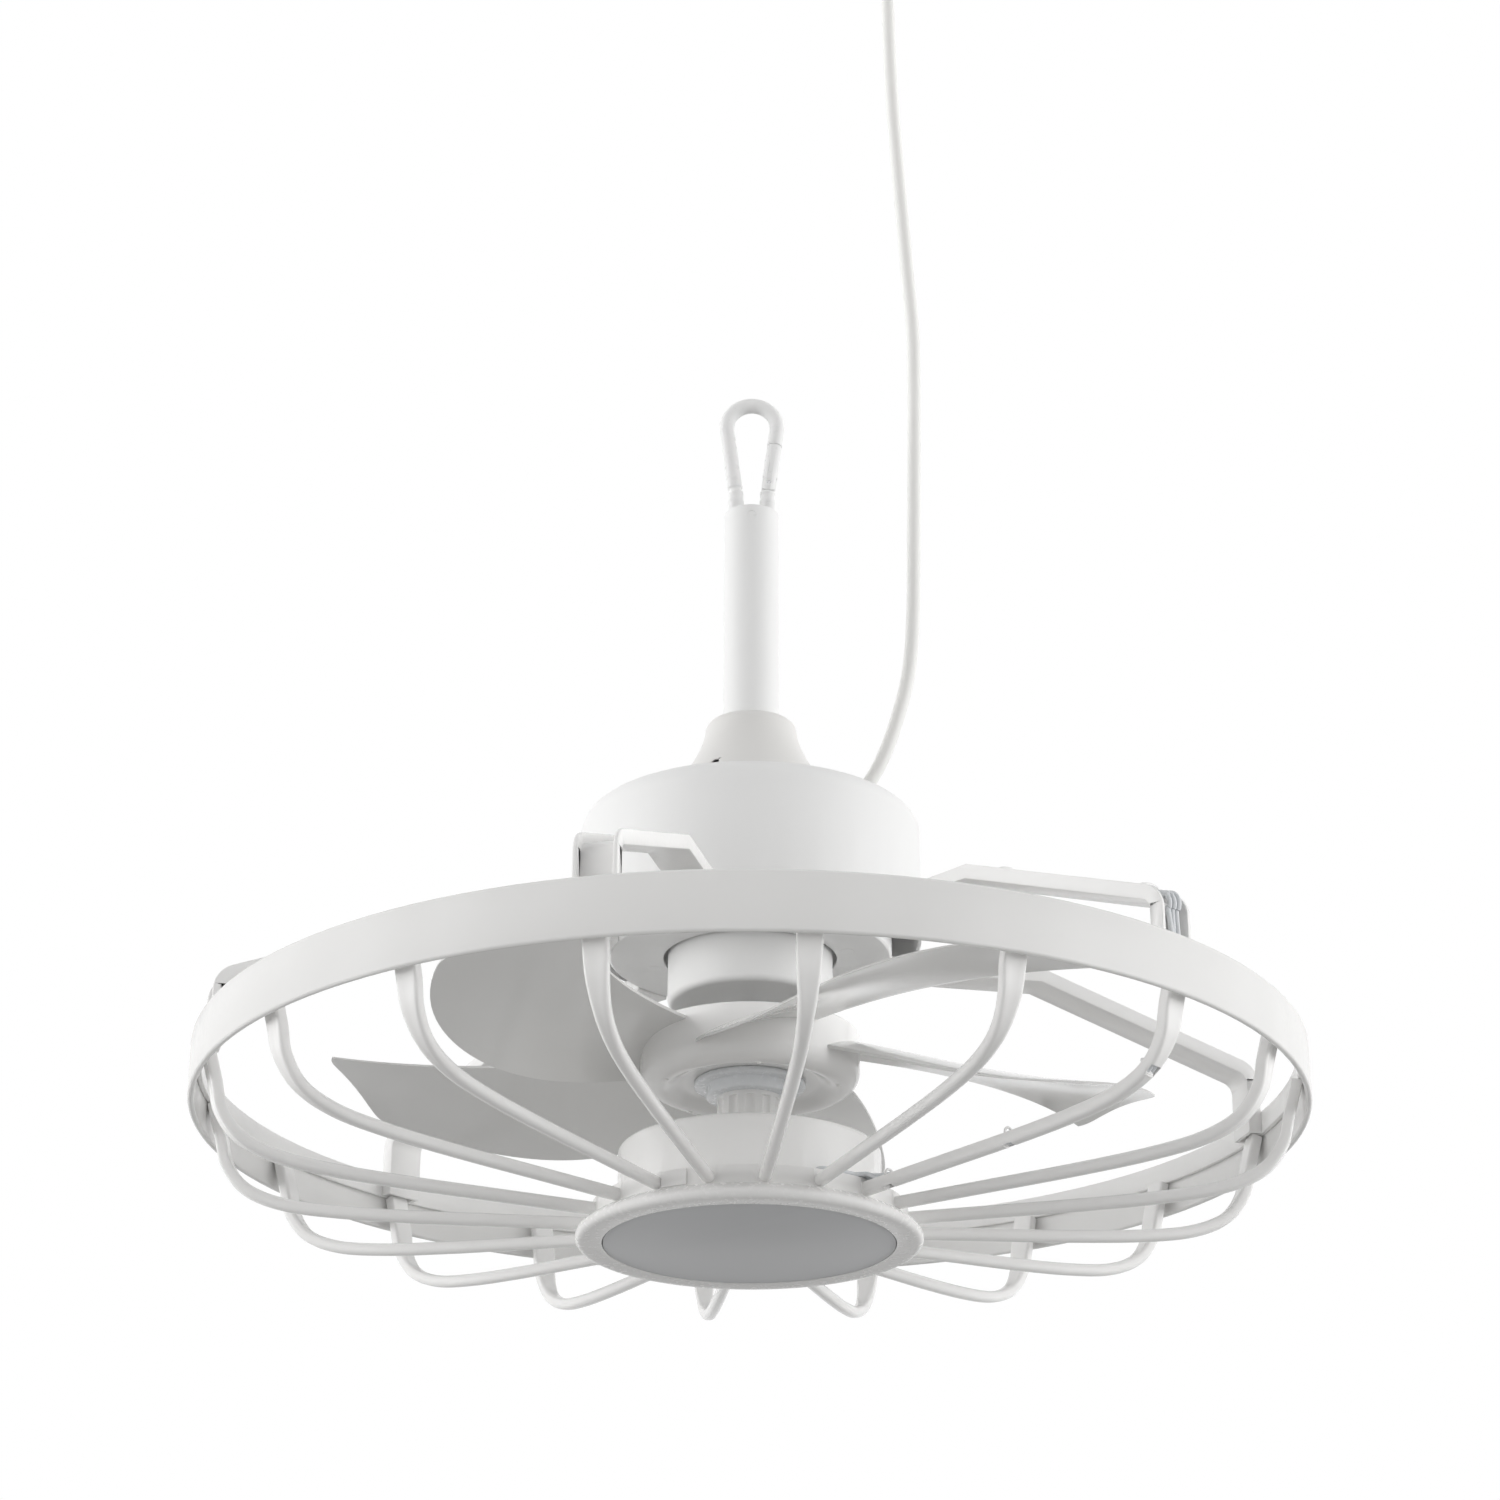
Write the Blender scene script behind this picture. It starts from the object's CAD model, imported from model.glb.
"""The looks of a caged ceiling fan with a lamp: its finishes, cords, fan wheel, ribs and stage.

Lengths in the geometry functions are in millimetres, and become metres when a mesh is made.
An azimuth is in degrees, from -Y towards +X.
"""

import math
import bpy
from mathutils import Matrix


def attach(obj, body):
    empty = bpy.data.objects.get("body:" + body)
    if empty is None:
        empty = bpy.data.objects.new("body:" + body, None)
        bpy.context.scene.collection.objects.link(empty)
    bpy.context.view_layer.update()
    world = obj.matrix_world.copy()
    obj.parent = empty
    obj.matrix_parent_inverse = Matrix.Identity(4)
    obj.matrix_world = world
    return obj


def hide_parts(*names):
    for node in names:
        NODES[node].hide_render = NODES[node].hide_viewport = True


bl_info = {
    "name": "Caged Ceiling Fan",
    "version": (1, 0, 0),
    "blender": (4, 5, 0),
    "location": "View3D > Sidebar > Ceiling Fan",
    "description": "Dresses a caged ceiling fan with its finishes, cords, fan wheel, ribs and stage",
    "category": "Object",
}

import bmesh
import bpy
from bpy.props import FloatProperty, FloatVectorProperty, PointerProperty
from mathutils import Matrix, Vector

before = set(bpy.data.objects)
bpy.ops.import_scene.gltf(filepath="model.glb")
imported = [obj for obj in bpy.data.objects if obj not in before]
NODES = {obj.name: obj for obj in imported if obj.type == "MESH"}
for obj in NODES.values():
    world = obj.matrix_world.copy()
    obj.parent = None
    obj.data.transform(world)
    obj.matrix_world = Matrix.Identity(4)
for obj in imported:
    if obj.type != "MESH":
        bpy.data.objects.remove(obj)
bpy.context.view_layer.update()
MM = 0.001

# Levels of the fan, from the hang point downwards
SHELL_RIM = -281.6
HUB_TOP = -327.5
HOOP_TOP = -343.6
HUB_FACE = -353.5
COLLAR_TOP = -410.0

# Clearances between pieces, and how far joined forms reach into each other
SEAT_GAP = 0.1
LOOSE_GAP = 0.3
LEAD_GAP = 0.15
LAP = 0.1

# Cage
COVER_R = 66.0
COLLAR_R = 71.8
HOOP_IN_R = 252.0
RING_T = 2.4
RING_FOOT = HOOP_TOP - 11.0
RIB_COUNT = 18
RIB_AZ = 5.5
LEAD_RIB = 2
RIB_T = 5.7
RIB_IN_R = COLLAR_R - 3.8
RIB_TOP_R = HOOP_IN_R - RIB_T / 2 - SEAT_GAP
ARM_AZ = RIB_AZ + LEAD_RIB * 360 / RIB_COUNT
ARM_WALL = 2.0
ARM_DEPTH = 6.5
ARM_BEND = 6.0
ARM_FALL = 20.1


class FanSizes(bpy.types.PropertyGroup):
    """Sizes of the cords, the blades and the soft edges"""
    cord_diameter: FloatProperty(
        name="Cord Diameter", description="Diameter of the mains cord",
        default=0.0068, min=0.005, max=0.009, unit="LENGTH")
    strand_diameter: FloatProperty(
        name="Strand Diameter", description="Diameter of one strand of the lamp lead",
        default=0.0022, min=0.0015, max=0.003, unit="LENGTH")
    blade_thickness: FloatProperty(
        name="Blade Thickness", description="Thickness of a blade at its middle",
        default=0.0022, min=0.0016, max=0.003, unit="LENGTH")
    edge_radius: FloatProperty(
        name="Edge Radius", description="Soft rounding of the fan's sharp edges",
        default=0.0004, min=0.0, max=0.001, unit="LENGTH")


class FanColors(bpy.types.PropertyGroup):
    """Colours of the fan's finishes"""
    paint: FloatVectorProperty(
        name="Paint", description="Satin paint of the rod, bell, housing and hook",
        default=(0.86, 0.86, 0.855), size=3, min=0.0, max=1.0, subtype="COLOR")
    moulding: FloatVectorProperty(
        name="Moulding", description="Gloss plastic of the ribs, the arms and the lamp housing",
        default=(0.91, 0.905, 0.895), size=3, min=0.0, max=1.0, subtype="COLOR")
    bell: FloatVectorProperty(
        name="Bell", description="Warmer paint of the bell cover",
        default=(0.77, 0.762, 0.745), size=3, min=0.0, max=1.0, subtype="COLOR")
    hoop: FloatVectorProperty(
        name="Hoop", description="Gloss plastic of the hoop",
        default=(0.82, 0.816, 0.805), size=3, min=0.0, max=1.0, subtype="COLOR")
    lamp: FloatVectorProperty(
        name="Lamp", description="Gloss plastic of the ring round the lamp",
        default=(0.88, 0.875, 0.865), size=3, min=0.0, max=1.0, subtype="COLOR")
    hub: FloatVectorProperty(
        name="Hub", description="Gloss plastic of the hub",
        default=(0.95, 0.945, 0.935), size=3, min=0.0, max=1.0, subtype="COLOR")
    blades: FloatVectorProperty(
        name="Blades", description="Gloss plastic of the blades",
        default=(0.79, 0.787, 0.775), size=3, min=0.0, max=1.0, subtype="COLOR")
    lens: FloatVectorProperty(
        name="Lens", description="Opal plastic of the unlit lamp",
        default=(0.18, 0.189, 0.252), size=3, min=0.0, max=1.0, subtype="COLOR")
    cord: FloatVectorProperty(
        name="Cord", description="Soft sheath of the mains cord",
        default=(0.86, 0.857, 0.835), size=3, min=0.0, max=1.0, subtype="COLOR")


class FanStage(bpy.types.PropertyGroup):
    """The floor's place and the strength of the light"""
    floor_level: FloatProperty(
        name="Floor Level", description="Height of the floor under the fan",
        default=-1.3, min=-4.0, max=-0.5, unit="LENGTH")
    side_power: FloatProperty(
        name="Side Power", description="Power of each side lamp",
        default=2.5, min=0.0, max=100.0, unit="POWER")
    top_power: FloatProperty(
        name="Top Power", description="Power of the lamp overhead",
        default=1.5, min=0.0, max=100.0, unit="POWER")
    sky: FloatProperty(
        name="Sky", description="Strength of the soft light all round",
        default=1.06, min=0.0, max=2.0)


# Geometry helpers

def place(az, r, t, z):
    """The point at an azimuth, radius and height, set off sideways by t."""
    a = math.radians(az)
    return (r * math.sin(a) + t * math.cos(a), -r * math.cos(a) + t * math.sin(a), z)


def between(ends, u):
    """The value a share u of the way from the first end to the second."""
    return ends[0] + (ends[1] - ends[0]) * u


def ease(u):
    """A smooth rise from 0 to 1 while u goes from 0 to 1."""
    u = min(max(u, 0.0), 1.0)
    return u * u * (3 - 2 * u)


def make_piece(name, verts, faces, finish, body, slot, sharp=35.0, stands_for=()):
    mesh = bpy.data.meshes.new(name)
    mesh.from_pydata([Vector(v) * MM for v in verts], [], faces)
    shape = bmesh.new()
    shape.from_mesh(mesh)
    bmesh.ops.recalc_face_normals(shape, faces=shape.faces)
    shape.to_mesh(mesh)
    shape.free()
    mesh.validate()
    mesh.shade_smooth()
    mesh.set_sharp_from_angle(angle=math.radians(sharp))
    piece = bpy.data.objects.new(name, mesh)
    bpy.context.scene.collection.objects.link(piece)
    mesh.materials.append(finish)
    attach(piece, body)
    if stands_for:
        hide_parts(*stands_for)
    return piece


def revolve(profile, steps):
    """The vertices and faces of a closed profile of (radius, height) turned about the fan's axis."""
    count = len(profile)
    verts = [
        (r * math.cos(2 * math.pi * i / steps), r * math.sin(2 * math.pi * i / steps), z)
        for i in range(steps) for r, z in profile
    ]
    faces = [
        (i * count + j, (i + 1) % steps * count + j,
         (i + 1) % steps * count + (j + 1) % count, i * count + (j + 1) % count)
        for i in range(steps) for j in range(count)
    ]
    return verts, faces


def tube_mesh(path, radius, sides=12):
    """The vertices and faces of a closed round tube along a path."""
    path = [Vector(p) for p in path]
    verts, faces = [], []
    side = None
    for i, point in enumerate(path):
        along = (path[min(i + 1, len(path) - 1)] - path[max(i - 1, 0)]).normalized()
        side = along.orthogonal() if side is None else side - along * side.dot(along)
        side.normalize()
        up = along.cross(side)
        for k in range(sides):
            a = 2 * math.pi * k / sides
            verts.append(point + radius * (math.cos(a) * side + math.sin(a) * up))
    for i in range(len(path) - 1):
        for k in range(sides):
            a, b = i * sides + k, i * sides + (k + 1) % sides
            faces.append((a, b, b + sides, a + sides))
    last = (len(path) - 1) * sides
    faces.append(tuple(range(sides)))
    faces.append(tuple(last + k for k in range(sides)))
    return verts, faces


def arc(cx, cz, radius, start, end, steps):
    """Points along a round stretch of a profile, from one angle to another, in degrees."""
    return [
        (cx + radius * math.cos(math.radians(start + (end - start) * i / steps)),
         cz + radius * math.sin(math.radians(start + (end - start) * i / steps)))
        for i in range(steps + 1)
    ]


CURVE_ROUNDING = 6


def curve_piece(name, points, radius, finish, body, stands_for):
    """A round cord along points in millimetres, as a curve of one open spline; its radius is in metres."""
    data = bpy.data.curves.new(name, "CURVE")
    data.dimensions = "3D"
    data.bevel_depth = radius
    data.bevel_resolution = CURVE_ROUNDING
    data.use_fill_caps = True
    spline = data.splines.new("POLY")
    spline.points.add(len(points) - 1)
    for point, at in zip(spline.points, points):
        point.co = (at[0] * MM, at[1] * MM, at[2] * MM, 1.0)
    spline.use_smooth = True
    data.materials.append(finish)
    piece = bpy.data.objects.new(name, data)
    bpy.context.scene.collection.objects.link(piece)
    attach(piece, body)
    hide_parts(*stands_for)
    return piece


def smooth_path(points, steps):
    """A smooth curve through the points, with a number of steps from each to the next."""
    path = []
    last = len(points) - 1
    for i in range(last):
        a, b = Vector(points[max(i - 1, 0)]), Vector(points[i])
        c, d = Vector(points[i + 1]), Vector(points[min(i + 2, last)])
        for k in range(steps):
            u = k / steps
            path.append(0.5 * (2 * b + (c - a) * u + (2 * a - 5 * b + 4 * c - d) * u * u
                               + (3 * b - a - 3 * c + d) * u ** 3))
    path.append(Vector(points[last]))
    return path


def join_meshes(parts):
    verts, faces = [], []
    for part_verts, part_faces in parts:
        start = len(verts)
        verts.extend(part_verts)
        faces.extend(tuple(start + i for i in face) for face in part_faces)
    return verts, faces


def box_mesh(lo, hi, turn):
    """A box between two corners, turned about the fan's axis by some degrees."""
    spin = Matrix.Rotation(math.radians(turn), 3, "Z")
    corners = [(x, y, z) for x in (lo[0], hi[0]) for y in (lo[1], hi[1]) for z in (lo[2], hi[2])]
    faces = [(0, 1, 3, 2), (4, 6, 7, 5), (0, 4, 5, 1), (2, 3, 7, 6), (0, 2, 6, 4), (1, 5, 7, 3)]
    return [spin @ Vector(corner) for corner in corners], faces


def dome_mesh(at, radius, height, sides=16, rings=4):
    """A small closed dome that hangs from a level face."""
    verts, faces = [], []
    for i in range(rings):
        a = 0.5 * math.pi * i / rings
        for k in range(sides):
            turn = 2 * math.pi * k / sides
            verts.append((at[0] + radius * math.cos(a) * math.cos(turn),
                          at[1] + radius * math.cos(a) * math.sin(turn), at[2] - height * math.sin(a)))
    verts.append((at[0], at[1], at[2] - height))
    for i in range(rings - 1):
        for k in range(sides):
            a, b = i * sides + k, i * sides + (k + 1) % sides
            faces.append((a, b, b + sides, a + sides))
    last = (rings - 1) * sides
    faces += [(last + k, last + (k + 1) % sides, len(verts) - 1) for k in range(sides)]
    faces.append(tuple(range(sides)))
    return verts, faces


# Finishes; the grain's depth is in metres

PLASTIC_IOR = 1.46
COAT_ROUGH = 0.12
GRAIN_BAND = (0.3, 0.7)
GRAIN_DEPTH = 0.0002
MOTTLE_SCALE = 14.0


def make_finish(name, color, rough, metallic=0.0, coat=0.0, grain=0.05, grain_scale=400.0,
                bump=0.0, mottle=0.02):
    """A procedural finish: fine grain in the gloss, and faint mottling."""
    mat = bpy.data.materials.new(name)
    mat.use_nodes = True
    nodes, links = mat.node_tree.nodes, mat.node_tree.links
    shader = nodes["Principled BSDF"]
    shader.inputs["Metallic"].default_value = metallic
    shader.inputs["IOR"].default_value = PLASTIC_IOR
    shader.inputs["Coat Weight"].default_value = coat
    shader.inputs["Coat Roughness"].default_value = COAT_ROUGH
    where = nodes.new("ShaderNodeTexCoord")
    noise = nodes.new("ShaderNodeTexNoise")
    noise.inputs["Scale"].default_value = grain_scale
    noise.inputs["Detail"].default_value = 3.0
    links.new(where.outputs["Object"], noise.inputs["Vector"])
    gloss = nodes.new("ShaderNodeMapRange")
    gloss.inputs["From Min"].default_value = GRAIN_BAND[0]
    gloss.inputs["From Max"].default_value = GRAIN_BAND[1]
    gloss.inputs["To Min"].default_value = max(rough - grain, 0.02)
    gloss.inputs["To Max"].default_value = min(rough + grain, 1.0)
    links.new(noise.outputs["Fac"], gloss.inputs["Value"])
    links.new(gloss.outputs["Result"], shader.inputs["Roughness"])
    cloud = nodes.new("ShaderNodeTexNoise")
    cloud.inputs["Scale"].default_value = MOTTLE_SCALE
    links.new(where.outputs["Object"], cloud.inputs["Vector"])
    tint = nodes.new("ShaderNodeMix")
    tint.data_type = "RGBA"
    tint.inputs["A"].default_value = (*[c * (1 - mottle) for c in color], 1.0)
    tint.inputs["B"].default_value = (*[min(c * (1 + mottle), 1.0) for c in color], 1.0)
    links.new(cloud.outputs["Fac"], tint.inputs["Factor"])
    links.new(tint.outputs["Result"], shader.inputs["Base Color"])
    if bump > 0.0:
        relief = nodes.new("ShaderNodeBump")
        relief.inputs["Strength"].default_value = bump
        relief.inputs["Distance"].default_value = GRAIN_DEPTH
        links.new(noise.outputs["Fac"], relief.inputs["Height"])
        links.new(relief.outputs["Normal"], shader.inputs["Normal"])
    return mat


def finish_named(name):
    return bpy.data.materials[name]


# The fan's own parts that have each finish; all the others have gloss_moulding
PARTS_WITH_FINISH = {
    "hook_paint": ("carabiner", "gate", "hanger_pin"),
    "satin_paint": ("downrod", "housing_shell", "bottom_cover", "motor_can", "fixings"),
    "bell_paint": ("bell_cover",),
    "bright_steel": ("gate_pin", "coupling_yoke", "clevis_pin", "carrier_plate", "rotor_core",
                     "shaft", "bearings", "drive_pin"),
    "cast_alloy": ("motor_end_plate",),
    "copper_winding": ("stator",),
    "circuit_board": ("control_board",),
    "lamp_board": ("led_board",),
    "milky_plastic": ("hub_washer",),
    "hoop_moulding": ("hoop",),
    "lamp_moulding": ("lamp_bezel",),
    "opal_lens": ("diffuser",),
    "strand_sheath": ("lamp_lead",),
    "cord_sheath": ("cord_gland", "power_cord", "cord_coil"),
}


class FAN_OT_finishes(bpy.types.Operator):
    """Makes the finishes and puts them on the fan's own parts"""
    bl_idname = "fan.finishes"
    bl_label = "Finishes"

    def execute(self, context):
        colors = context.scene.fan_colors
        make_finish("satin_paint", colors.paint, 0.42, grain=0.05, grain_scale=900.0, bump=0.12)
        make_finish("bell_paint", colors.bell, 0.40, grain=0.05, grain_scale=900.0, bump=0.12)
        make_finish("hook_paint", colors.paint, 0.30, grain=0.04, grain_scale=300.0, bump=0.03)
        make_finish("gloss_moulding", colors.moulding, 0.22, grain=0.03, coat=0.1)
        make_finish("lamp_moulding", colors.lamp, 0.26, grain=0.03)
        make_finish("hoop_moulding", colors.hoop, 0.24, grain=0.03, coat=0.15)
        make_finish("hub_moulding", colors.hub, 0.14, grain=0.02, coat=0.3)
        make_finish("blade_moulding", colors.blades, 0.12, grain=0.02, coat=0.3)
        make_finish("milky_plastic", (0.86, 0.88, 0.90), 0.25, coat=0.3)
        make_finish("opal_lens", colors.lens, 0.34, grain=0.03, grain_scale=1500.0)
        make_finish("cord_sheath", colors.cord, 0.38, grain=0.05, coat=0.1)
        make_finish("strand_sheath", (0.72, 0.74, 0.76), 0.25, coat=0.3)
        make_finish("bright_steel", (0.62, 0.62, 0.63), 0.28, metallic=1.0, grain=0.03)
        make_finish("cast_alloy", (0.62, 0.62, 0.64), 0.45, metallic=0.9, bump=0.4)
        make_finish("copper_winding", (0.62, 0.30, 0.14), 0.35, metallic=0.8, grain_scale=60.0, bump=0.5)
        make_finish("circuit_board", (0.05, 0.2, 0.1), 0.4, grain_scale=200.0, mottle=0.2)
        make_finish("lamp_board", (0.85, 0.85, 0.83), 0.5)
        finish_of = {part: finish for finish, parts in PARTS_WITH_FINISH.items() for part in parts}
        for name, node in NODES.items():
            node.data.materials.clear()
            node.data.materials.append(finish_named(finish_of.get(name, "gloss_moulding")))
        return {"FINISHED"}


# Mains cord, in the same places as the fan's source

CORD_POINTS = [
    (50.04, 34.01, -233), (50.04, 34.01, -216), (50.04, 34.01, -201.6), (50.8, 34, -195.8),
    (53.5, 33, -190.5), (58.5, 32, -184.5), (64.8, 31, -172.3), (71.3, 30, -153.7), (77.2, 30, -129.5),
    (79.9, 30, -100), (81, 30, -56), (81.8, 30, -10), (82.4, 30, 36), (82.2, 30, 64),
    (80.4, 30, 92), (78.1, 30, 127), (75.6, 30, 165), (73.6, 30, 200), (72.4, 30, 236),
    (72, 30, 270), (72, 30, 319),
]
CORD_STEPS = 6
COIL_PITCH = 7.4
COIL_TURNS = 5
COIL_MID_R = 37.4
COIL_R = COIL_MID_R + COIL_PITCH * COIL_TURNS / 4
COIL_STEPS = 48
COIL_LIFT = 6.8
COIL_RUN = 33


def coil_path():
    """The coil, whose turns go inwards in one layer and outwards in the next, and its run to the plug."""
    start = CORD_POINTS[-1]
    cx, cy, cz = start[0] - COIL_R, start[1], start[2] + COIL_LIFT
    points = []
    for i in range(COIL_TURNS * COIL_STEPS + 1):
        turns = i / COIL_STEPS
        r = COIL_R - COIL_PITCH * min(turns, COIL_TURNS - turns)
        y = COIL_PITCH * ease((turns - COIL_TURNS / 2 + 0.25) * 2)
        a = 2 * math.pi * turns
        points.append((cx + r * math.cos(a), cy + y, cz + r * math.sin(a)))
    points.append((cx + COIL_R, cy + COIL_PITCH, cz + COIL_RUN))
    return points


class FAN_OT_mains_cord(bpy.types.Operator):
    """Lays the mains cord up beside the downrod and winds its spare length into a coil"""
    bl_idname = "fan.mains_cord"
    bl_label = "Mains Cord"

    def execute(self, context):
        diameter = context.scene.fan_sizes.cord_diameter
        path = [tuple(p) for p in smooth_path(CORD_POINTS, CORD_STEPS)] + coil_path()
        cord = curve_piece("mains_cord", path, diameter / 2, finish_named("cord_sheath"),
                           "hanger", ("power_cord", "cord_coil"))
        return {"FINISHED"}


# Camera and stage, in metres; the camera's rise is in degrees, and its roll and yaw in radians

CAMERA_AT = (0.0, -1.5929, -0.8702)
CAMERA_LENS = 87.114
CAMERA_WIDTH = 36.0
CAMERA_RISE = 23.34
CAMERA_ROLL = 0.0032848
CAMERA_YAW = 0.000267

FAN_MIDDLE = (0.0, 0.0, -0.32)
SIDE_LAMP_AT = (1.5, -0.9, -0.3)
SIDE_LAMP_SIZE = (1.3, 1.6)
TOP_LAMP_AT = (0.0, 0.2, 1.6)
TOP_LAMP_SIZE = (1.6, 1.6)

FLOOR_HALF = 8.0
FLOOR_COLOR = (0.59, 0.588, 0.583)
FLOOR_GLOW = 0.32

# Shares of the surround's light: all round the horizon, more from either side of the front, and above
SKY_ROUND = 0.65
SKY_SIDE = 5.9
SKY_TOP = 0.2
SKY_FRONT = 0.8
SKY_LOBE = 6.0


class FAN_OT_camera(bpy.types.Operator):
    """Sets the camera below the fan, looking up at it"""
    bl_idname = "fan.camera"
    bl_label = "Camera"

    def execute(self, context):
        data = bpy.data.cameras.new("viewer")
        data.sensor_fit = "HORIZONTAL"
        data.sensor_width = CAMERA_WIDTH
        data.lens = CAMERA_LENS
        camera = bpy.data.objects.new("viewer", data)
        context.scene.collection.objects.link(camera)
        yaw = Matrix.Rotation(CAMERA_YAW, 4, "Z")
        pitch = Matrix.Rotation(math.radians(90.0 + CAMERA_RISE), 4, "X")
        roll = Matrix.Rotation(CAMERA_ROLL, 4, "Z")
        camera.matrix_world = Matrix.Translation(CAMERA_AT) @ yaw @ pitch @ roll
        context.scene.camera = camera
        return {"FINISHED"}


def add_lamp(name, at, size, power):
    """A soft lamp that faces the middle of the fan."""
    data = bpy.data.lights.new(name, "AREA")
    data.shape = "RECTANGLE"
    data.size, data.size_y = size
    data.energy = power
    lamp = bpy.data.objects.new(name, data)
    lamp.location = at
    aim = Vector(FAN_MIDDLE) - Vector(at)
    lamp.rotation_euler = aim.to_track_quat("-Z", "Y").to_euler()
    bpy.context.scene.collection.objects.link(lamp)


def math_node(tree, kind, a, b=0.0):
    """The result of a Math node, whose two inputs are sockets or numbers."""
    node = tree.nodes.new("ShaderNodeMath")
    node.operation = kind
    for socket, value in zip(node.inputs, (a, b)):
        if isinstance(value, float):
            socket.default_value = value
        else:
            tree.links.new(value, socket)
    return node.outputs[0]


def seen_node(tree):
    """1 for a ray that sees: one from the camera, or one that a shiny or clear surface sends on."""
    light = tree.nodes.new("ShaderNodeLightPath")
    shiny = math_node(tree, "MAXIMUM", light.outputs["Is Camera Ray"], light.outputs["Is Glossy Ray"])
    return math_node(tree, "MAXIMUM", shiny, light.outputs["Is Transmission Ray"])


def make_sky(strength):
    """A white surround: soft light that is stronger from the sides, and plain white where it is seen."""
    world = bpy.data.worlds.new("white_surround")
    bpy.context.scene.world = world
    world.use_nodes = True
    tree = world.node_tree
    nodes, links = tree.nodes, tree.links
    nodes.clear()
    out = nodes.new("ShaderNodeOutputWorld")
    where = nodes.new("ShaderNodeTexCoord")
    split = nodes.new("ShaderNodeSeparateXYZ")
    links.new(where.outputs["Generated"], split.inputs["Vector"])
    front = math_node(tree, "MULTIPLY", split.outputs["Y"], SKY_FRONT)
    front = math_node(tree, "SUBTRACT", 1.0, front)
    lobe = math_node(tree, "POWER", math_node(tree, "ABSOLUTE", split.outputs["X"]), SKY_LOBE)
    side = math_node(tree, "MULTIPLY", math_node(tree, "MULTIPLY", lobe, front), SKY_SIDE)
    height = math_node(tree, "MAXIMUM", split.outputs["Z"], 0.0)
    level = math_node(tree, "SUBTRACT", 1.0, height)
    low = math_node(tree, "MULTIPLY", math_node(tree, "ADD", side, SKY_ROUND), level)
    total = math_node(tree, "ADD", low, math_node(tree, "MULTIPLY", height, SKY_TOP))
    soft = nodes.new("ShaderNodeBackground")
    links.new(math_node(tree, "MULTIPLY", total, strength), soft.inputs["Strength"])
    white = nodes.new("ShaderNodeBackground")
    white.inputs["Color"].default_value = (1.0, 1.0, 1.0, 1.0)
    white.inputs["Strength"].default_value = 1.0
    mix = nodes.new("ShaderNodeMixShader")
    links.new(seen_node(tree), mix.inputs["Fac"])
    links.new(soft.outputs["Background"], mix.inputs[1])
    links.new(white.outputs["Background"], mix.inputs[2])
    links.new(mix.outputs["Shader"], out.inputs["Surface"])


def add_glow(mat, strength):
    """Makes a finish look paler where it is seen, with no more light on the fan."""
    nodes, links = mat.node_tree.nodes, mat.node_tree.links
    plain = nodes["Principled BSDF"].outputs["BSDF"]
    glow = nodes.new("ShaderNodeEmission")
    glow.inputs["Strength"].default_value = strength
    both = nodes.new("ShaderNodeAddShader")
    links.new(plain, both.inputs[0])
    links.new(glow.outputs["Emission"], both.inputs[1])
    mix = nodes.new("ShaderNodeMixShader")
    links.new(seen_node(mat.node_tree), mix.inputs["Fac"])
    links.new(plain, mix.inputs[1])
    links.new(both.outputs["Shader"], mix.inputs[2])
    links.new(mix.outputs["Shader"], nodes["Material Output"].inputs["Surface"])


class FAN_OT_stage(bpy.types.Operator):
    """Sets the pale floor, the white surround and the soft lamps"""
    bl_idname = "fan.stage"
    bl_label = "Stage"

    def execute(self, context):
        stage = context.scene.fan_stage
        floor = bpy.data.meshes.new("floor")
        corners = [(x * FLOOR_HALF, y * FLOOR_HALF, 0.0) for x, y in ((-1, -1), (1, -1), (1, 1), (-1, 1))]
        floor.from_pydata(corners, [], [(0, 1, 2, 3)])
        ground = bpy.data.objects.new("floor", floor)
        ground.location = (0.0, 0.0, stage.floor_level)
        context.scene.collection.objects.link(ground)
        pale = make_finish("pale_floor", FLOOR_COLOR, 0.8, grain_scale=30.0, mottle=0.01)
        add_glow(pale, FLOOR_GLOW)
        floor.materials.append(pale)
        x, y, z = SIDE_LAMP_AT
        add_lamp("left_lamp", (-x, y, z), SIDE_LAMP_SIZE, stage.side_power)
        add_lamp("right_lamp", (x, y, z), SIDE_LAMP_SIZE, stage.side_power)
        add_lamp("top_lamp", TOP_LAMP_AT, TOP_LAMP_SIZE, stage.top_power)
        make_sky(stage.sky)
        context.scene.view_settings.view_transform = "Standard"
        return {"FINISHED"}


# Fan wheel; a pair of values is for a blade's root and its tip

BLADE_COUNT = 5
BLADE_AZ = -110
BLADE_TIP_R = 196.5
TIP_HALF_AZ = 11.5
TIP_CORNER = 3.0
LEAD_AZ = (3.0, 18.0)
LEAD_BOW = 1.6
LEAD_Z = (11.6, 8.0)
TRAIL_AZ = (-63.4, -5.3)
TRAIL_SWEEP = (1.88, -2.14, 1.26)
TRAIL_Z = (-0.2, 0.4)
TRAIL_DIP = 13.5
CAMBER = 3.0

# Shares of a blade's thickness at its root and tip, and along its edges
BLADE_SHARE = (1.3, 0.55)
EDGE_SHARE = 0.55

# Hub, with its dished middle, its webs and the pips on its lower face
HUB_R = 50.7
HUB_WALL = 2.4
HUB_ROUND = 9
HUB_CHAMFER = 0.5
HUB_STEPS = 160
HUB_BORE_R = 4.02
BOSS_R = 9.5
DISH_DEPTH = 4
DISH_R = 41
DISH_RUN = 10
WEB_COUNT = 10
WEB_T = 1.8
WEB_H = 12
PIP_AT = 41.6
PIP_AZ = 5.5
PIP_R = 1.2
PIP_H = 0.7
PIP_SUNK = 0.05


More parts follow.
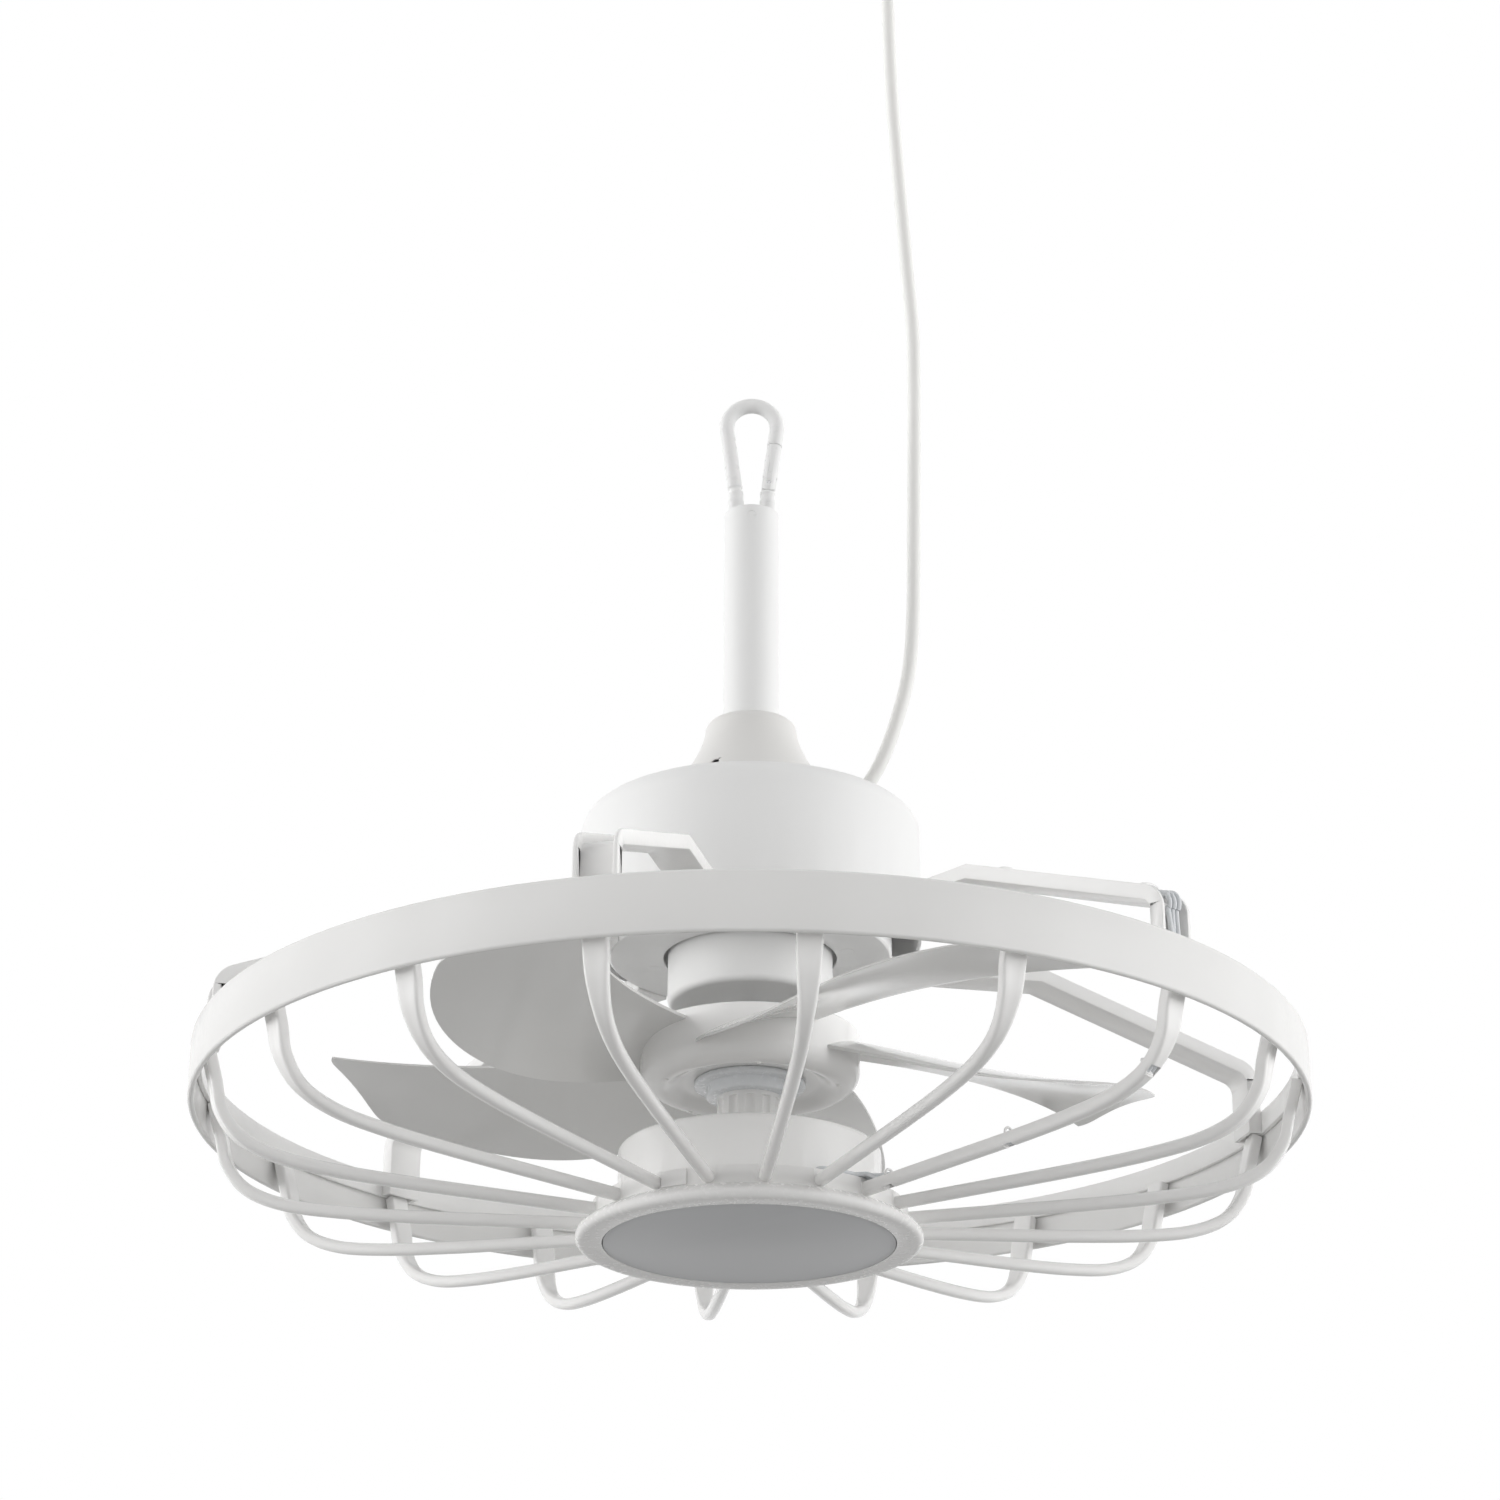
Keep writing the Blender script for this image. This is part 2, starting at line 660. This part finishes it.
def blade_tip(c):
    """The radius of a blade's tip, which is nearly straight and has round corners."""
    across = 2 * c - 1
    bow = math.cos(math.radians(TIP_HALF_AZ)) / math.cos(math.radians(across * TIP_HALF_AZ))
    return BLADE_TIP_R * bow - TIP_CORNER * abs(across) ** 8


def blade_middle(s, c):
    """A point of a blade's middle surface: s runs from the root to the tip, c from the leading edge."""
    sweep = s * (TRAIL_SWEEP[0] + s * (TRAIL_SWEEP[1] + s * TRAIL_SWEEP[2]))
    az = between((between(LEAD_AZ, s ** LEAD_BOW), between(TRAIL_AZ, sweep)), c)
    trail_z = between(TRAIL_Z, s) - TRAIL_DIP * math.sin(math.pi * s)
    z = between((between(LEAD_Z, s), trail_z), c) + CAMBER * math.sin(math.pi * c)
    r = between((HUB_R - HUB_WALL / 2, blade_tip(c)), s)
    return Vector(place(az, r, 0, HOOP_TOP + z))


def blade_mesh(turn, thickness, spans=36, chords=30):
    """One blade, which thins towards its tip and its edges."""
    verts, faces = [], []
    spin = Matrix.Rotation(math.radians(turn), 3, "Z")
    for side in (-1, 1):
        for i in range(spans + 1):
            for j in range(chords + 1):
                s, even = i / spans, j / chords
                c = between((even, 0.5 - 0.5 * math.cos(math.pi * even)), 0.5)
                fullness = math.sqrt(max(math.sin(math.pi * c), 0.0))
                thick = thickness * between(BLADE_SHARE, s) * between((EDGE_SHARE, 1.0), fullness)
                verts.append(spin @ (blade_middle(s, c) + Vector((0, 0, side * thick / 2))))
    row, skin = chords + 1, (spans + 1) * (chords + 1)
    for i in range(spans):
        for j in range(chords):
            a = i * row + j
            faces.append((a, a + row, a + row + 1, a + 1))
            faces.append((a + skin, a + 1 + skin, a + row + 1 + skin, a + row + skin))
    edge = ([j for j in range(row)] + [i * row + chords for i in range(1, spans + 1)]
            + [spans * row + j for j in range(chords - 1, -1, -1)]
            + [i * row for i in range(spans - 1, 0, -1)])
    for a, b in zip(edge, edge[1:] + edge[:1]):
        faces.append((a, b, b + skin, a + skin))
    return verts, faces


def hub_profile():
    """The hub's section: an open cup with a dished middle and a boss round its bore."""
    dish = HUB_FACE + DISH_DEPTH
    centre_r, centre_z = HUB_R - HUB_ROUND, HUB_FACE + HUB_ROUND
    outer = arc(centre_r, centre_z, HUB_ROUND, 0, -90, 16)
    inner = arc(centre_r, centre_z, HUB_ROUND - HUB_WALL, -90, 0, 12)
    lip = [(r, HUB_FACE + DISH_DEPTH * ease((DISH_R - r) / DISH_RUN))
           for r in range(DISH_R - 1, DISH_R - 1 - DISH_RUN, -1)]
    lip_back = [(r + 1, z + HUB_WALL) for r, z in reversed(lip)]
    boss = [(HUB_BORE_R, dish), (HUB_BORE_R, HUB_TOP), (BOSS_R, HUB_TOP), (BOSS_R, dish + HUB_WALL)]
    rim = [(HUB_R - HUB_CHAMFER, HUB_TOP), (HUB_R, HUB_TOP - HUB_CHAMFER)]
    return rim + outer + lip + boss + lip_back + inner + [(HUB_R - HUB_WALL, HUB_TOP)]


def hub_webs():
    """The webs from the boss to the hub's wall."""
    foot = HUB_FACE + DISH_DEPTH + 1
    lo = (BOSS_R - 1, -WEB_T / 2, foot)
    hi = (HUB_R - HUB_WALL + LAP, WEB_T / 2, foot + WEB_H)
    return [box_mesh(lo, hi, i * 360 / WEB_COUNT) for i in range(WEB_COUNT)]


def hub_pips():
    """The small domes on the hub's lower face, one to each blade."""
    turns = [PIP_AZ + i * 360 / BLADE_COUNT for i in range(BLADE_COUNT)]
    return [dome_mesh(place(az, PIP_AT, 0, HUB_FACE + PIP_SUNK), PIP_R, PIP_H) for az in turns]


class FAN_OT_wheel(bpy.types.Operator):
    """Makes the moulded hub and the swept blades"""
    bl_idname = "fan.wheel"
    bl_label = "Fan Wheel"

    def execute(self, context):
        thickness = context.scene.fan_sizes.blade_thickness / MM
        hub = join_meshes([revolve(hub_profile(), HUB_STEPS)] + hub_webs() + hub_pips())
        make_piece("wheel_hub", *hub, finish_named("hub_moulding"), "rotor", "white_plastic",
                   stands_for=("impeller",))
        blades = [blade_mesh(BLADE_AZ + i * 360 / BLADE_COUNT, thickness) for i in range(BLADE_COUNT)]
        make_piece("wheel_blades", *join_meshes(blades), finish_named("blade_moulding"), "rotor",
                   "white_plastic", sharp=30.0, stands_for=("impeller",))
        return {"FINISHED"}


# Ribs; a pair of values is for a rib's level stretch and its top

# Middle line of a rib: radius, and height above the lamp's collar
RIB_LINE = (
    (RIB_IN_R, -5.3), (110, -2.8), (155, -0.1), (190, 2.9), (215, 7.0),
    (232, 14.4), (241.3, 26.0), (244.6, 38.5), (RIB_TOP_R, RING_FOOT - LOOSE_GAP - COLLAR_TOP),
)
RIB_W_FOOT = 5.5
RIB_W = (6.0, 10.9)
RIB_SPREAD = 150
RIB_DEEP = (RIB_T, 5.3)
RIB_ROUND = (2.3, 1.3)
RIB_DISH = (0.0, 0.35)
RISE_FOOT = -408
RISE_H = 38
RIB_CORNER = 5
RIB_SIDES = 28
RIB_STEPS = 8

# Holes for the clips, by radius, and the lead's channel on the inside of its rib
CLIP_STATIONS = (86.0, 155.0, 232.0)
CLIP_HOLE = 5.0
CHANNEL_WALL = 0.6
CHANNEL_FLOOR = 0.9
CHANNEL_LIP = (0.2, 0.4)
CHANNEL_CORNER = (0.3, 0.5)

# Pocket of the lamp's collar that holds a rib's foot, and how far its filling stands proud
POCKET_W = 6.8
POCKET_H = 7.7
POCKET_PROUD = (0.06, 0.03)


def rib_line():
    """Radius and height along a rib's middle line, and the direction towards its outside."""
    points = smooth_path([(r, COLLAR_TOP + z) for r, z in RIB_LINE], RIB_STEPS)
    line = []
    for i, point in enumerate(points):
        along = (points[min(i + 1, len(points) - 1)] - points[max(i - 1, 0)]).normalized()
        line.append((point.x, point.y, along.y, -along.x))
    return line


def rib_at(r):
    """The rib's middle line at a radius."""
    line = rib_line()
    i = next(i for i in range(len(line) - 1) if line[i + 1][0] >= r)
    u = (r - line[i][0]) / (line[i + 1][0] - line[i][0])
    return tuple(a + (b - a) * u for a, b in zip(line[i], line[i + 1]))


def rib_stations(holes):
    """The stations along a rib, and the numbers of those where a hole begins."""
    line, starts = rib_line(), []
    for hole in holes:
        reach = -rib_at(hole)[3] * CLIP_HOLE / 2
        ends = [rib_at(hole - reach), rib_at(hole + reach)]
        line = sorted([p for p in line if not hole - reach - 1 < p[0] < hole + reach + 1] + ends,
                      key=lambda p: p[0] + p[1])
        starts.append(line.index(ends[0]))
    return line, starts


def rib_section(r, z, channel):
    """Offsets across a rib, from the middle of one side round its outside and back along its inside."""
    rise = ease((z - RISE_FOOT) / RISE_H)
    level_w = between((RIB_W_FOOT, RIB_W[0]), min((r - RIB_IN_R) / RIB_SPREAD, 1.0))
    half = (level_w + (RIB_W[1] - RIB_W[0]) * rise) / 2
    deep, corner, dip = between(RIB_DEEP, rise) / 2, between(RIB_ROUND, rise), between(RIB_DISH, rise)
    flat = half - corner
    turned = arc(flat, deep - corner, corner, 0, 90, RIB_CORNER - 1)
    outside = turned + [(0.5 * flat, deep - 0.7 * dip), (0.0, deep - dip)]
    if channel:
        wall, floor = half - CHANNEL_WALL, deep - CHANNEL_FLOOR
        inside = [(half, CHANNEL_LIP[1] - deep), (half - CHANNEL_LIP[0], -deep), (wall, -deep),
                  (wall, CHANNEL_LIP[1] - deep), (wall, floor - CHANNEL_CORNER[1]),
                  (wall - CHANNEL_CORNER[0], floor)]
        middle = floor
    else:
        inside = [(t, -d) for t, d in turned] + [(0.5 * flat, -deep)]
        middle = -deep
    right = [(half, 0.0)] + outside
    left = [(-t, d) for t, d in reversed(outside[:-1])] + [(-half, 0.0)]
    return right + left + [(-t, d) for t, d in inside] + [(0.0, middle)] + list(reversed(inside))


def rib_mesh(az, holes):
    """A rib; the one with holes has a channel on its inside for the lamp lead."""
    stations, gaps = rib_stations(holes)
    verts, faces = [], []
    for r, z, nr, nz in stations:
        for t, d in rib_section(r, z, bool(holes)):
            verts.append(place(az, r + d * nr, t, z + d * nz))
    n = RIB_SIDES
    first, last = RIB_CORNER // 2 + 1, n // 2 - RIB_CORNER // 2 - 1
    under, over = set(range(first, last)), {n - 1 - k for k in range(first, last)}
    for i in range(len(stations) - 1):
        for k in range(n):
            if i in gaps and (k in under or k in over):
                continue
            a, b = i * n + k, i * n + (k + 1) % n
            faces.append((a, b, b + n, a + n))
    for i in gaps:
        for k in (first, last):
            a, b = i * n + k, i * n + n - k
            faces.append((a, a + n, b + n, b))
        for row in (i, i + 1):
            for k in range(first, last):
                a, b = row * n + k, row * n + n - k
                faces.append((a, a + 1, b - 1, b))
    end = (len(stations) - 1) * n
    faces.append(tuple(range(n)))
    faces.append(tuple(end + k for k in range(n)))
    return verts, faces


def foot_block(az):
    """Fills the lamp collar's pocket round a rib's foot, nearly flush with the collar."""
    lo = (RIB_IN_R - LAP, -POCKET_W / 2, COLLAR_TOP - POCKET_H)
    hi = (COLLAR_R + POCKET_PROUD[0], POCKET_W / 2, COLLAR_TOP + POCKET_PROUD[1])
    return box_mesh(lo, hi, az - 90)


class FAN_OT_ribs(bpy.types.Operator):
    """Makes the moulded ribs of the cage, one of them holed for the lamp lead's clips"""
    bl_idname = "fan.ribs"
    bl_label = "Ribs"

    def execute(self, context):
        for i in range(RIB_COUNT):
            az = RIB_AZ + i * 360 / RIB_COUNT
            holes = CLIP_STATIONS if i == LEAD_RIB else ()
            name = "rib_%02d" % (i + 1)
            make_piece(name + "_bar", *join_meshes([rib_mesh(az, holes), foot_block(az)]),
                       finish_named("gloss_moulding"), "hanger", "white_plastic", sharp=50.0,
                       stands_for=(name,))
        return {"FINISHED"}


# Lamp lead, laid in one arm's channel and along the rib below it

LEAD_PITCH = 2.45
LEAD_FOOT_AZ = 29.0
LEAD_RING_R = 67.1
LEAD_LEAVE_R = 92
LEAD_BULGE = 3.6
LEAD_NEST = 1.75
LEAD_STEPS = 4
ARM_FALL_TAN = math.tan(math.radians(ARM_FALL))
ARM_POST_R = HOOP_IN_R - SEAT_GAP - RING_T - SEAT_GAP - ARM_DEPTH
ARM_ROOT = (COVER_R - 2, SHELL_RIM - 2.5 - ARM_DEPTH)
ARM_LEVEL = (COVER_R + 29, ARM_ROOT[1])
ARM_CREST = (COVER_R + 74.8, ARM_ROOT[1] + 1.2)
ARM_CORNER = (ARM_POST_R, ARM_CREST[1] - (ARM_POST_R - ARM_CREST[0]) * ARM_FALL_TAN)

# Clips; a pair is an arch's half width and height, or a lip's steps down and along
RIB_ARCH = (2.6, 3.1)
RIB_ARCH_WIRE = 0.6
RIB_LIP_HALF = 2.3
RIB_LIP_WIRE = 0.55
RIB_LIP_SUNK = 0.45
RIB_LIP_SAG = 0.12
RIB_LIP_STEP = (0.5, 0.7)
ARM_ARCH = (7.2, 5.6)
ARM_ARCH_WIRE = 0.75
ARM_ARCH_HALF_LEN = 0.8
ARM_CLIP_R = (ARM_CREST[0] + 16, ARM_POST_R - 9)
CLIP_SUNK = 0.4


def arm_normal(p, q):
    """The direction towards the outside of an arm's stretch from p to q."""
    length = math.hypot(q[0] - p[0], q[1] - p[1])
    return (-(q[1] - p[1]) / length, (q[0] - p[0]) / length)


def miter(m, n):
    """The offset of the corner where two stretches of one thickness meet."""
    scale = 1 / (1 + m[0] * n[0] + m[1] * n[1])
    return ((m[0] + n[0]) * scale, (m[1] + n[1]) * scale)


ARM_N = (arm_normal(ARM_ROOT, ARM_LEVEL), arm_normal(ARM_LEVEL, ARM_CREST),
         arm_normal(ARM_CREST, ARM_CORNER))
ARM_MITER = miter(ARM_N[2], (1.0, 0.0))
ARM_TURN = (ARM_CORNER[0] - ARM_BEND * ARM_MITER[0], ARM_CORNER[1] - ARM_BEND * ARM_MITER[1])


def arm_side(d, bulge):
    """Radius and height along an arm, set off outwards by d, with a bulge round its corner."""
    points = [(base[0] + d * n[0], base[1] + d * n[1]) for base, n in (
        ((ARM_ROOT[0] + 1, ARM_ROOT[1]), ARM_N[0]), (ARM_LEVEL, miter(ARM_N[0], ARM_N[1])),
        (ARM_CREST, miter(ARM_N[1], ARM_N[2])))]
    for i in range(9):
        a = math.radians((90 - ARM_FALL) * (1 - i / 8))
        reach = ARM_BEND + d + bulge * math.sin(math.pi * (i + 1) / 10)
        points.append((ARM_TURN[0] + reach * math.cos(a), ARM_TURN[1] + reach * math.sin(a)))
    return points


def lead_path(k, radius):
    """One strand of the lamp lead, from the bottom cover to the lamp; k is -1, 0 or 1."""
    lift = ARM_WALL + radius + LEAD_GAP
    path = [place(ARM_AZ, r, k * LEAD_PITCH, z) for r, z in arm_side(lift, LEAD_BULGE + 0.7 * k)]
    side, deep = k * radius, RIB_T / 2 - CHANNEL_FLOOR - radius
    if k == 0:
        deep -= LEAD_NEST * radius
    line = [p for p in reversed(rib_line()) if p[0] > LEAD_LEAVE_R]
    path += [place(ARM_AZ, r + deep * nr, side, z + deep * nz) for r, z, nr, nz in line[1::3]]
    on_collar = COLLAR_TOP + radius + LEAD_GAP
    r, az = LEAD_RING_R - k * LEAD_PITCH, LEAD_FOOT_AZ + 2.4 * k
    path += [place(ARM_AZ, 81, side, on_collar - (3.4 if k else 1.6)),
             place(ARM_AZ, r + 4.6, side, on_collar), place(ARM_AZ - 1.6 + 2 * k, r + 0.6, 0, on_collar),
             place(ARM_AZ - 4 + 2 * k, r, 0, on_collar), place(az + 6, r, 0, on_collar),
             place(az + 2, r, 0, on_collar), place(az + 0.4, r - 1, 0, on_collar),
             place(az, r - 2.4, 0, on_collar), place(az, 59, 0, on_collar)]
    return path


def rib_clip(r):
    """An arch of moulded strip over the strands, and a curved lip at the end of the rib's hole."""
    base_r, z, nr, nz = rib_at(r)
    over = RIB_T / 2
    arch = []
    for i in range(13):
        a = math.pi * i / 12
        d = over - CLIP_SUNK + RIB_ARCH[1] * math.sin(a)
        arch.append(place(ARM_AZ, base_r - d * nr, RIB_ARCH[0] * math.cos(a), z - d * nz))
    parts = [tube_mesh(arch, RIB_ARCH_WIRE)]
    for row in range(3):
        lip = []
        for i in range(9):
            t = RIB_LIP_HALF * (i - 4) / 4
            d = over - RIB_LIP_SUNK - RIB_LIP_STEP[0] * row - RIB_LIP_SAG * t * t
            u = CLIP_HOLE / 2 + LAP - RIB_LIP_STEP[1] * row
            lip.append(place(ARM_AZ, base_r + d * nr + u * nz, t, z + d * nz - u * nr))
        parts.append(tube_mesh(lip, RIB_LIP_WIRE, 8))
    return parts


def arm_clip(r):
    """Two arches side by side over the strands in the arm's channel."""
    fall = math.radians(ARM_FALL)
    z = ARM_CREST[1] - (r - ARM_CREST[0]) * ARM_FALL_TAN
    parts = []
    for u in (-ARM_ARCH_HALF_LEN, ARM_ARCH_HALF_LEN):
        arch = []
        for i in range(15):
            a = math.pi * i / 14
            t, d = -ARM_ARCH[0] * math.cos(a), ARM_WALL + CLIP_SUNK + ARM_ARCH[1] * math.sin(a) ** 0.6
            arch.append(place(ARM_AZ, r + d * math.sin(fall) + u * math.cos(fall), t,
                              z + d * math.cos(fall) - u * math.sin(fall)))
        parts.append(tube_mesh(arch, ARM_ARCH_WIRE))
    return parts


class FAN_OT_lead(bpy.types.Operator):
    """Lays the lamp lead's three strands along an arm and a rib, and clips them down"""
    bl_idname = "fan.lead"
    bl_label = "Lamp Lead"

    def execute(self, context):
        radius = context.scene.fan_sizes.strand_diameter / 2 / MM
        strands = [tube_mesh(smooth_path(lead_path(k, radius), LEAD_STEPS), radius) for k in (-1, 0, 1)]
        make_piece("lead_strands", *join_meshes(strands), finish_named("strand_sheath"), "hanger",
                   "lead_sheath", stands_for=("lamp_lead",))
        clips = [part for r in CLIP_STATIONS for part in rib_clip(r)]
        clips += [part for r in ARM_CLIP_R for part in arm_clip(r)]
        make_piece("lead_ties", *join_meshes(clips), finish_named("gloss_moulding"), "hanger",
                   "white_plastic", stands_for=("lead_clips",))
        return {"FINISHED"}


# Soft edges and the lamp's trim

# How far the edges of the fan's own parts are rounded, in edge radii
SOFT_PARTS = {
    "bell_cover": 1.25, "housing_shell": 1.0, "bottom_cover": 1.0, "motor_can": 1.25,
    "hub_washer": 2.0, "lock_nut": 1.25, "hoop": 1.25, "arm_ring": 1.0, "lamp_housing": 0.875,
    "lamp_bezel": 1.5, "diffuser": 0.75, "carabiner": 0.625, "gate": 0.625, "mains_plug": 2.5,
    "cord_tie": 0.75, "cord_gland": 0.75, "coupling_yoke": 0.75,
    **{"arm_%d" % i: 1.0 for i in range(1, 7)},
}
WELD_REACH = 0.000002
SOFT_ANGLE = 32

# Small plate on the lamp's collar
PLATE_AZ = (-32.0, -22.4)
PLATE_T = 1.2
PLATE_DROP = (0.6, 7.8)
PLATE_EDGE = (0.25, 0.3)


class FAN_OT_soft_edges(bpy.types.Operator):
    """Rounds the sharp edges of the fan's own parts with modifiers"""
    bl_idname = "fan.soft_edges"
    bl_label = "Soft Edges"

    def execute(self, context):
        edge = context.scene.fan_sizes.edge_radius
        for name, share in SOFT_PARTS.items():
            node = NODES[name]
            mesh = node.data
            mesh.shade_smooth()
            mesh.normals_split_custom_set([(0.0, 0.0, 0.0)] * len(mesh.loops))
            weld = node.modifiers.new("weld", "WELD")
            weld.merge_threshold = WELD_REACH
            soft = node.modifiers.new("soft_edges", "BEVEL")
            soft.width = edge * share
            soft.segments = 2
            soft.limit_method = "ANGLE"
            soft.angle_limit = math.radians(SOFT_ANGLE)
            soft.harden_normals = True
        return {"FINISHED"}


class FAN_OT_lamp_trim(bpy.types.Operator):
    """Puts the small plate on the lamp's collar"""
    bl_idname = "fan.lamp_trim"
    bl_label = "Lamp Trim"

    def execute(self, context):
        steps = 12
        back, front = COLLAR_R - LAP, COLLAR_R + PLATE_T
        top, foot = COLLAR_TOP - PLATE_DROP[0], COLLAR_TOP - PLATE_DROP[1]
        profile = [(back, foot), (front - PLATE_EDGE[0], foot), (front, foot + PLATE_EDGE[1]),
                   (front, top - PLATE_EDGE[1]), (front - PLATE_EDGE[0], top), (back, top)]
        n = len(profile)
        verts, faces = [], []
        for i in range(steps + 1):
            verts += [place(between(PLATE_AZ, i / steps), r, 0, z) for r, z in profile]
        for i in range(steps):
            for k in range(n):
                a, b = i * n + k, i * n + (k + 1) % n
                faces.append((a, b, b + n, a + n))
        faces += [tuple(range(n)), tuple(steps * n + k for k in range(n))]
        make_piece("collar_plate", verts, faces, finish_named("gloss_moulding"), "hanger",
                   "white_plastic", sharp=40.0)
        return {"FINISHED"}


class FAN_PT_panel(bpy.types.Panel):
    """Lists the steps that dress the fan"""
    bl_idname = "FAN_PT_panel"
    bl_label = "Ceiling Fan"
    bl_space_type = "VIEW_3D"
    bl_region_type = "UI"
    bl_category = "Ceiling Fan"

    def draw(self, context):
        for group in (context.scene.fan_sizes, context.scene.fan_colors, context.scene.fan_stage):
            box = self.layout.box()
            for name in group.__annotations__:
                box.prop(group, name)
        for step in STEPS:
            self.layout.operator(step.bl_idname)


STEPS = (FAN_OT_camera, FAN_OT_finishes, FAN_OT_mains_cord, FAN_OT_wheel, FAN_OT_ribs, FAN_OT_lead,
         FAN_OT_soft_edges, FAN_OT_lamp_trim, FAN_OT_stage)
GROUPS = {"fan_sizes": FanSizes, "fan_colors": FanColors, "fan_stage": FanStage}


def register():
    for cls in (*GROUPS.values(), *STEPS, FAN_PT_panel):
        bpy.utils.register_class(cls)
    for name, group in GROUPS.items():
        setattr(bpy.types.Scene, name, PointerProperty(type=group))


def unregister():
    for name in GROUPS:
        delattr(bpy.types.Scene, name)
    for cls in reversed((*GROUPS.values(), *STEPS, FAN_PT_panel)):
        bpy.utils.unregister_class(cls)


def main():
    register()
    bpy.ops.fan.camera()
    bpy.ops.fan.finishes()
    bpy.ops.fan.mains_cord()
    bpy.ops.fan.wheel()
    bpy.ops.fan.ribs()
    bpy.ops.fan.lead()
    bpy.ops.fan.soft_edges()
    bpy.ops.fan.lamp_trim()
    bpy.ops.fan.stage()


if __name__ == "__main__":
    main()
